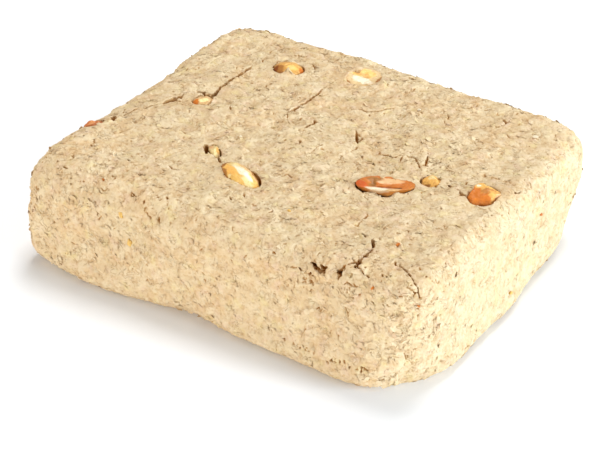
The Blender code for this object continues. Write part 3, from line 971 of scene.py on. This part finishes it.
# %% Patches of each peanut
# Each peanut's record slot and main colour, then its patches: middle and half size on the ball, turn in
# degrees, colour, and how far the patch stands out in mm. A later patch lies over an earlier one.
PATCHES = {
    "peanut_golden_whole": ("golden_peanut", GOLD, (
        # Painted shade: the brown ovals at this kernel's rims. The last two ovals, pale gold and cream, are
        # partly its pale flesh and partly a painted highlight.
        ((0.2, 0.55, 0.8), (0.9, 0.24, 0.5), 0, TAN, 0),
        ((0.45, 0.75, 0.5), (0.6, 0.2, 0.5), 0, BROWN, 0),
        ((-0.25, -0.5, 0.8), (0.4, 0.34, 0.5), 0, AMBER, 0),
        ((0.6, -0.35, 0.7), (0.3, 0.25, 0.5), 0, PALE_GOLD, 0),
        ((0.95, 0.1, 0.3), (0.2, 0.5, 0.5), 0, AMBER, 0),
        ((0.02, -0.95, 0.35), (0.5, 0.14, 0.3), 0, BROWN, 0),
        ((-0.55, -0.7, 0.45), (0.3, 0.2, 0.4), -30, BROWN, 0),
        ((-0.8, -0.1, 0.55), (0.14, 0.7, 0.5), 0, BROWN, 0),
        ((0.35, -0.72, 0.6), (0.5, 0.2, 0.4), 0, GOLD, 0),
        ((-0.1, -0.8, 0.6), (0.1, 0.16, 0.3), 0, PALE_GOLD, 0.05),
        ((0.05, 0.02, 0.96), (0.7, 0.3, 0.5), -5, PALE_GOLD, 0.03),
        ((0.2, -0.05, 0.96), (0.5, 0.24, 0.5), 0, CREAM, 0.06),
    )),
    "peanut_split_long": ("peanut_skin", ORANGE, (
        ((0.1, 0.42, 0.9), (0.55, 0.34, 0.6), 0, PINK, 0.2),
        ((-0.4, 0.5, 0.77), (0.3, 0.3, 0.5), 0, BROWN, 0.1),
        ((0.78, -0.5, 0.25), (0.34, 0.7, 0.7), 0, ORANGE, 0.1),
        ((-0.2, -0.85, 0.4), (0.46, 0.4, 0.7), 0, CREAM, 0.25),
        ((0.3, -0.9, 0.3), (0.26, 0.3, 0.4), 0, TAN, 0.2),
        ((0.0, -0.36, 0.92), (0.48, 0.13, 0.5), -4, RED_BROWN, -0.5),
        ((0.42, -0.55, 0.7), (0.2, 0.12, 0.5), -35, DARK_BROWN, -0.4),
        ((0.3, -0.75, -0.6), (0.42, 0.35, 0.3), 0, OCHRE, 0.3),
        ((-0.05, -0.79, -0.6), (0.25, 0.3, 0.3), 0, BROWN, 0.1),
        ((-0.46, 0.0, 0.88), (0.12, 0.4, 0.5), 0, BROWN, -0.6),
        ((-0.97, -0.1, 0.2), (0.12, 0.6, 0.7), 0, DARK_BROWN, 0),
        ((-0.78, -0.33, 0.5), (0.22, 0.5, 0.6), 0, RED_ORANGE, 0.8),
    )),
    "peanut_curved_crumb": ("golden_peanut", AMBER, (
        ((0.0, 0.3, 0.9), (0.7, 0.3, 0.5), 0, PALE_GOLD, 0.1),
        ((-0.7, -0.6, 0.3), (0.35, 0.35, 0.5), 0, BROWN, 0),
        ((0.3, -0.5, 0.7), (0.6, 0.2, 0.5), 0, OCHRE, 0),
    )),
    "peanut_skinned_chunk": ("peanut_skin", OCHRE, (
        ((-0.2, -0.7, 0.5), (0.9, 0.7, 0.7), 0, ORANGE, 0),
        ((-0.6, 0.0, 0.7), (0.35, 0.6, 0.6), 0, ORANGE, 0),
        ((-0.2, 0.4, 0.86), (0.5, 0.35, 0.4), 0, AMBER, 0.05),
        ((0.05, -0.1, 0.96), (0.3, 0.2, 0.4), 20, RUST, 0),
        ((0.4, 0.15, 0.85), (0.5, 0.14, 0.4), 35, RUST, 0.15),
        ((0.5, 0.6, 0.7), (0.4, 0.3, 0.4), 0, AMBER, 0),
        ((0.6, -0.4, 0.6), (0.4, 0.2, 0.5), 20, OCHRE, 0),
        ((0.9, -0.1, 0.5), (0.16, 0.4, 0.4), 0, PINK, 0),
        ((-0.35, 0.33, 0.88), (0.13, 0.1, 0.3), 0, CREAM, 0.05),
    )),
    "peanut_buried_brown": ("peanut_skin", OCHRE, (
        ((-0.5, -0.5, 0.7), (0.42, 0.5, 0.6), 0, BROWN, 0),
        ((-0.75, -0.4, 0.5), (0.2, 0.5, 0.6), 0, DARK_BROWN, 0),
        ((0.25, -0.1, 0.94), (0.35, 0.3, 0.4), 0, GOLD, 0.1),
        ((0.85, 0.1, 0.5), (0.2, 0.4, 0.6), 0, ORANGE, 0),
    )),
    "peanut_pale_half": ("pale_peanut", SAND, (
        ((0.1, 0.45, 0.8), (0.7, 0.4, 0.6), -30, GOLD, 0.15),
        ((0.05, 0.25, 0.9), (0.5, 0.16, 0.5), -40, OCHRE, -0.1),
        ((0.75, -0.6, 0.3), (0.3, 0.4, 0.5), 0, BROWN, 0),
        ((-0.1, -0.9, 0.3), (0.6, 0.2, 0.4), 0, OCHRE, 0),
        ((-0.9, -0.4, 0.3), (0.2, 0.4, 0.4), 0, BROWN, 0),
        ((-0.12, -0.2, 0.95), (0.68, 0.27, 0.6), -47, CREAM, 0.3),
    )),
    "peanut_pale_sliver": ("pale_peanut", TAN, (
        ((-0.8, -0.35, 0.5), (0.38, 0.5, 0.6), 0, ORANGE, 0),
        ((-0.05, -0.4, 0.88), (0.45, 0.26, 0.5), 0, PALE_GOLD, 0),
    )),
    "peanut_rim_red": ("dark_skin", DULL_RED, (
        ((-0.2, 0.1, 0.9), (0.5, 0.3, 0.5), 0, WORN_RED, 0),
    )),
    "peanut_thin_yellow": ("golden_peanut", PALE_GOLD, (
        ((-0.7, -0.3, 0.5), (0.42, 0.5, 0.6), 0, PINK, 0.1),
        ((0.3, 0.6, 0.5), (0.5, 0.4, 0.6), 0, OCHRE, 0),
        ((0.85, -0.2, 0.3), (0.3, 0.5, 0.5), 0, PALE_GOLD, 0),
    )),
}


def rotation(axis, degrees):
    """The matrix that turns points about an axis."""
    return np.array(Matrix.Rotation(math.radians(degrees), 3, axis))


def inside_oval(ball, middle, half, turn):
    """How far inside an oval of the ball each point is: 1 at its middle, 0 at its edge."""
    return 1 - np.linalg.norm((ball - middle) @ rotation("Z", turn) / half, axis=1)


print("patches:", sum(len(patches) for _, _, patches in PATCHES.values()))

# %% [markdown]
# ### Each peanut in its place
#
# The solids were made from a coarse ball. Subdividing them would only round their facets, so each
# peanut is made again from a fine ball: bent to its form, raised under its patches, roughened a
# little, turned, and then fitted to the box that its solid fills.

# %% Make the peanuts
cube, cube_squares = cube_skin((BALL_COUNT,) * 3)
ball = unit(np.tan(cube * math.pi / 4))
nuts = {}
for name, (kind, size, heading, roll) in PEANUTS.items():
    slot, _, patches = PATCHES[name]
    points = FORMS[kind](ball) * size / 2
    for middle, half, turn, _, rise in patches:
        points += ball * (ramp(inside_oval(ball, middle, half, turn), -0.2, 0.35) * rise)[:, None]
    uneven = noise_at(ball * size, 2.2, 500 + len(nuts)) * 0.2 + noise_at(ball * size, 0.9, 520) * 0.06
    points += ball * uneven[:, None]
    points = points @ (rotation("Z", heading) @ rotation("X", roll)).T
    low, high = (np.array(end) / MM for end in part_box(name))
    points = low + (points - points.min(axis=0)) / np.ptp(points, axis=0) * (high - low)
    mesh = mesh_from(name + "_dressed", points, cube_squares, ball=ball)
    nuts[name] = add_piece(name + "_dressed", mesh, slot, name)

# %% [markdown]
# ### Specks of nut and skin
#
# Bits of nut a millimetre or two long were pressed in with the rest. They could be dots of colour
# in the finish, but a real bit stands a little proud and catches the light. So they are broken
# balls, flattened against the crust, one piece for each kind. They are too small to be parts of the
# solid model.

# %% Scatter the specks
# Each kind: its slot, its colour, then the place and length of each speck.
SPECKS = {
    "specks_of_nut": ("golden_peanut", GOLD, (
        ((-28, -48, 25), 1.8), ((-25, -49, 18), 2.0), ((60, -1.5, 7), 1.3), ((12, -31, 31), 1.0),
        ((-10, 47, 24), 1.8), ((-59, 12, 18), 1.5), ((22, 46, 14), 1.6))),
    "specks_of_skin": ("peanut_skin", ORANGE, (
        ((44, -44.5, 29), 0.9), ((42, -29.5, 31.5), 1.5), ((59, 16.5, 20), 1.2), ((57, -44, 26), 0.8),
        ((-36, -43, 30), 1.0), ((-58, 28, 12), 1.2), ((-34, 46, 17), 1.1))),
    "specks_of_flesh": ("pale_peanut", CREAM, (
        ((46.5, 34.5, 30), 1.6), ((14, 30, 30), 1.0), ((-18, -8, 30), 0.9), ((-59, -20, 22), 1.3))),
}
# For each mm of a speck's length: half its length and half its width before it is broken. Then half
# its thickness, which is the same for all.
SPECK_LENGTH, SPECK_WIDTH, SPECK_THICKNESS = 0.6, 0.4, 0.5
speck_cube, speck_squares = cube_skin((6, 6, 6))
speck_ball = unit(np.tan(speck_cube * math.pi / 4))
specks = {}
for name, (slot, _, bits) in SPECKS.items():
    points, balls, faces = [], [], []
    for middle, length in bits:
        place, normal = on_skin(np.array(middle) + CENTRING)
        across = np.cross(normal, draw.normal(0, 1, 3))
        across /= np.linalg.norm(across)
        sides = np.stack([across, np.cross(normal, across), normal])
        half = (SPECK_LENGTH * length, SPECK_WIDTH * length, SPECK_THICKNESS)
        shape = broken(speck_ball, CHUNK_BREAKS) * half
        faces.append(speck_squares + len(points) * len(speck_ball))
        points.append(place + shape @ sides)
        balls.append(speck_ball)
    points = np.clip(np.concatenate(points), inner_low, inner_high)
    mesh = mesh_from(name, points, np.concatenate(faces), ball=np.concatenate(balls))
    specks[name] = add_piece(name, mesh, slot)

# %% [markdown]
# ## Writing a material as sums
#
# A material's nodes can be laid out by hand, but the recipe is then hard to read. Here one small
# class stands for a node's output, and Python's own operators add the Math nodes, so that a mask
# is written as it would be on paper.

# %% A value of a node tree


class Value:
    """One output of a node. Sums on it add Math nodes."""

    def __init__(self, recipe, socket):
        self.recipe = recipe
        self.socket = socket

    def _math(self, operation, first, second):
        return self.recipe.node("ShaderNodeMath", {"operation": operation}, {0: first, 1: second})

    def __add__(self, other):
        return self._math("ADD", self, other)

    def __sub__(self, other):
        return self._math("SUBTRACT", self, other)

    def __rsub__(self, other):
        return self._math("SUBTRACT", other, self)

    def __mul__(self, other):
        return self._math("MULTIPLY", self, other)

    def __abs__(self):
        return self._math("ABSOLUTE", self, 0.0)

    __radd__ = __add__
    __rmul__ = __mul__


# %% A material as a recipe


class Recipe:
    """A new material whose nodes are added one expression at a time."""

    def __init__(self, name):
        self.material = bpy.data.materials.new(name)
        self.material.use_nodes = True
        self.tree = self.material.node_tree
        self.tree.nodes.clear()
        self.surface = self.tree.nodes.new("ShaderNodeBsdfPrincipled")
        output = self.tree.nodes.new("ShaderNodeOutputMaterial")
        self.tree.links.new(self.surface.outputs[0], output.inputs[0])

    def fill(self, node, sockets):
        for key, value in sockets.items():
            if isinstance(value, Value):
                self.tree.links.new(value.socket, node.inputs[key])
            else:
                node.inputs[key].default_value = value

    def node(self, kind, settings=None, sockets=None, output=0):
        """Adds any node: its kind, its settings, then the numbers or values of its sockets."""
        made = self.tree.nodes.new(kind)
        for key, value in (settings or {}).items():
            setattr(made, key, value)
        self.fill(made, sockets or {})
        return Value(self, made.outputs[output])

    def mix(self, share, first, second):
        """A colour between two others."""
        first, second = ((*c, 1) if isinstance(c, tuple) else c for c in (first, second))
        return self.node("ShaderNodeMix", {"data_type": "RGBA"}, {0: share, 6: first, 7: second}, 2)

    def step(self, value, low, high):
        """0 below `low`, 1 above `high`, and smooth between them."""
        return self.node("ShaderNodeMapRange", {"interpolation_type": "SMOOTHSTEP"},
                         {"Value": value, "From Min": low, "From Max": high})

    def stored(self, name, output="Fac"):
        """What the mesh stores for each point under this name."""
        return self.node("ShaderNodeAttribute", {"attribute_name": name}, output=output)

    def place(self):
        """The place on the block in mm."""
        return self.vector("MULTIPLY", self.node("ShaderNodeTexCoord", output="Object"), (1 / MM,) * 3)

    def noise(self, where, size, detail=2.0, distortion=0.0, output=0):
        """Noise from 0 to 1 with bumps about `size` wide. Output 1 is three noises at once."""
        sockets = {"Vector": where, "Scale": 1 / size, "Detail": detail, "Distortion": distortion}
        return self.node("ShaderNodeTexNoise", sockets=sockets, output=output)

    def bump(self, height, strength):
        """A Normal that looks raised by this height in mm."""
        sockets = {"Strength": strength, "Distance": MM, "Height": height}
        return self.node("ShaderNodeBump", sockets=sockets)

    def vector(self, operation, *values, output=0):
        """Vector Math on values or plain triples."""
        return self.node("ShaderNodeVectorMath", {"operation": operation}, dict(enumerate(values)), output)

    def finish(self, **sockets):
        """Fills the surface shader's sockets. A name's underscores stand for spaces."""
        self.fill(self.surface, {key.replace("_", " "): value for key, value in sockets.items()})
        return self.material


# %% [markdown]
# ## The finish of the halva
#
# Halva is matt, and its beige drifts towards pink or yellow from one fold of the paste to the
# next. Its cracks look brown, because light that goes in there comes out through more of the
# paste; here that brown shade is painted into the cracks, pits and pockets by their depth, with
# painted shade in the dips between the grains and a painted highlight on their tops. A painted
# picture could carry all this. Noise does it from the place on the block instead, so that it has
# no seams, and the numbers stored on the mesh say where the hollows and the crest places are.
# The finest grains and fibres are too small for the mesh, so a Bump node carries them.

# %% The halva's material
PALE_HALVA = (0.75, 0.605, 0.39)
HALVA = (0.66, 0.50, 0.295)
WARM_HALVA = (0.65, 0.45, 0.245)
# Painted shade: the first colour goes into the dips between grains, the winding grooves and the shallow
# hollows; the second goes into the cracks, pits and pockets.
CREVICE_SHADE = (0.42, 0.205, 0.055)
CRACK_SHADE_BROWN = (0.30, 0.115, 0.018)
PINK_HALVA = (0.70, 0.50, 0.34)
YELLOW_HALVA = (0.72, 0.57, 0.28)


def halva_finish():
    halva = Recipe("halva")
    where = halva.place()
    patches = halva.noise(where, 9)
    blotches = halva.noise(where, 3.6)
    mottle = halva.noise(where, 1.7)
    grain = halva.noise(where, 0.7)
    winding = abs(halva.noise(where, 2.4, distortion=0.7) - 0.5)
    lines = (1 - halva.step(winding, 0.0, 0.045)) * halva.step(halva.noise(where, 3.1), 0.5, 0.6)
    height = grain * 0.7 - lines * 0.35

    colour = halva.mix(halva.step(patches, 0.3, 0.7), WARM_HALVA, HALVA)
    hue = halva.noise(halva.vector("ADD", where, (40, 0, 0)), 3, detail=1)
    colour = halva.mix(halva.step(hue, 0.55, 0.75) * 0.6, colour, PINK_HALVA)
    colour = halva.mix(halva.step(1 - hue, 0.55, 0.75) * 0.6, colour, YELLOW_HALVA)
    pale = halva.step(blotches * 0.6 + mottle * 0.4 + halva.stored("tint") * 0.1, 0.42, 0.64)
    colour = halva.mix(pale * 0.65, colour, PALE_HALVA)
    # Painted highlight and painted shade: the tops of the grains and the stored crest places are painted
    # paler, and the dips between grains and the winding grooves of the bump darker.
    crest_highlight = halva.step(grain + halva.stored("crest") * 0.15, 0.5, 0.75)
    dip_shade = halva.step(1 - grain - halva.stored("crest") * 0.2, 0.5, 0.8)
    colour = halva.mix(crest_highlight * 0.25, colour, PALE_HALVA)
    colour = halva.mix(dip_shade * 0.3, colour, CREVICE_SHADE)
    colour = halva.mix(lines * 0.35, colour, CREVICE_SHADE)
    # Painted shade: the shallow hollows of the crust are painted towards the dark crevice colour, and its
    # cracks, pits and pockets deep brown, by their depth.
    hollow = halva.stored("hollow")
    colour = halva.mix(halva.step(hollow, 0.05, 0.5) * 0.75, colour, CREVICE_SHADE)
    colour = halva.mix(halva.step(hollow, 0.5, 1), colour, CRACK_SHADE_BROWN)

    bump = halva.bump(height * 0.35, strength=1.0)
    return halva.finish(Base_Color=colour, Roughness=0.95, Specular_IOR_Level=0.08, Normal=bump)


halva_material = halva_finish()
for piece in [crust] + litter:
    piece.data.materials.append(halva_material)
print("halva finish:", len(halva_material.node_tree.nodes), "nodes")

# %% [markdown]
# ## The finish of the peanuts
#
# A peanut is smooth and a little oily, so it shines where the halva doesn't. Nine finishes could
# be made one by one. Instead, one function paints them all from their lists of patches: an oval of
# the ball with an uneven edge, mixed over what lies below it. Fine dark veins run along the nut,
# and it is painted browner low down, where it goes into the halva: that is painted shade.

# %% The peanuts' materials


def oval_mask(recipe, ball, middle, half, turn):
    """1 inside an oval of the ball, 0 outside, with an uneven border."""
    offset = recipe.vector("SUBTRACT", ball, middle)
    turned = recipe.node("ShaderNodeVectorRotate", {"rotation_type": "Z_AXIS"},
                         {"Vector": offset, "Angle": -math.radians(turn)})
    away = recipe.vector("LENGTH", recipe.vector("DIVIDE", turned, half), output=1)
    uneven = recipe.noise(ball, 0.3, detail=3)
    return recipe.step(1 - away + (uneven - 0.5) * 0.7, -0.2, 0.25)


def peanut_finish(name, main_colour, patches):
    nut = Recipe(name)
    stored = nut.stored("ball", "Vector")
    bend = nut.noise(stored, 1 / 2.6, output=1)
    bend = nut.vector("SUBTRACT", bend, (0.5, 0.5, 0.5))
    ball = nut.vector("ADD", stored, nut.vector("MULTIPLY", bend, (0.35, 0.35, 0.35)))
    fine = nut.noise(ball, 0.16, detail=3)
    colour = nut.mix(nut.step(fine, 0.3, 0.75) * 0.5, main_colour, tuple(0.72 * c for c in main_colour))
    for middle, half, turn, patch_colour, _ in patches:
        colour = nut.mix(oval_mask(nut, ball, middle, half, turn), colour, patch_colour)
    veins = nut.noise(nut.vector("MULTIPLY", ball, (0.35, 1, 1)), 0.11, distortion=0.5)
    colour = nut.mix(nut.step(veins, 0.5, 0.75) * 0.4, colour, RED_BROWN)
    # Painted shade: low down on the ball, where the nut goes into the crust, it is mixed towards brown.
    up = nut.node("ShaderNodeSeparateXYZ", sockets={"Vector": stored}, output=2)
    low = 1 - nut.step(up, -0.05, 0.55)
    colour = nut.mix(low * 0.6, colour, BROWN)
    bump = nut.bump(veins * 0.25, strength=0.6)
    return nut.finish(Base_Color=colour, Roughness=0.35, Specular_IOR_Level=0.25, Normal=bump,
                      Coat_Weight=0.06, Coat_Roughness=0.2)


for name, piece in nuts.items():
    _, main_colour, patches = PATCHES[name]
    piece.data.materials.append(peanut_finish(name, main_colour, patches))
    print(name, "finish:", len(piece.data.materials[0].node_tree.nodes), "nodes")
for name, piece in specks.items():
    piece.data.materials.append(peanut_finish(name, SPECKS[name][1], ()))

# %% [markdown]
# ## Floor, light and background
#
# The block stands on a white table in a bright room. A panel under the ceiling, a little behind the
# block, lights its top and lays a soft shadow along the front foot. A window on the right makes the
# right side the brightest, and a low panel in front opens the shade there. One big soft light would
# be simpler, but it would flatten the crust. A white surround fills the rest.

# %% The stage
FLOOR_SIZE = 6000
FLOOR_GAP = 0.05  # how far the floor lies below the block
LIT_POINT = Vector((0, 0, 15)) * MM
WORLD_STRENGTH = 0.35
DAYLIGHT = (0.86, 1.03, 1.2)  # cooler than the panels
FLOOR_WHITES = ((0.94, 0.94, 0.94), (0.96, 0.96, 0.96))


def add_light(name, azimuth, elevation, distance, size, power, colour=(1, 1, 1)):
    """A square soft light that shines at the block's middle."""
    lamp = link(bpy.data.objects.new(name, bpy.data.lights.new(name, "AREA")))
    lamp.data.size = size
    lamp.data.energy = power
    lamp.data.color = colour
    lamp.visible_camera = False
    place = direction(math.radians(azimuth), math.radians(elevation)) * distance
    look_from(lamp, place, LIT_POINT)
    print(name, "is", distance, "m away and has", power, "W")


floor_recipe = Recipe("floor")
floor_tone = floor_recipe.noise(floor_recipe.place(), 300, detail=0)
floor_colour = floor_recipe.mix(floor_tone, *FLOOR_WHITES)
corners = [(x * FLOOR_SIZE / 2, y * FLOOR_SIZE / 2, 0) for x, y in ((-1, -1), (1, -1), (1, 1), (-1, 1))]
floor_mesh = mesh_from("floor", corners, [(0, 1, 2, 3)])
floor = link(bpy.data.objects.new("floor", floor_mesh))
floor.data.materials.append(floor_recipe.finish(Base_Color=floor_colour, Roughness=0.9))
floor.location.z = -FLOOR_GAP * MM

add_light("ceiling panel", azimuth=190, elevation=68, distance=1.3, size=0.6, power=11.6)
add_light("right window", azimuth=97, elevation=11, distance=1.3, size=0.8, power=24, colour=DAYLIGHT)
add_light("front panel", azimuth=-8, elevation=9, distance=1.6, size=0.9, power=21)

world = bpy.data.worlds.new("white surround")
world.use_nodes = True
world.node_tree.nodes["Background"].inputs["Color"].default_value = (1, 1, 1, 1)
world.node_tree.nodes["Background"].inputs["Strength"].default_value = WORLD_STRENGTH
bpy.context.scene.world = world
bpy.context.scene.view_settings.view_transform = "Standard"
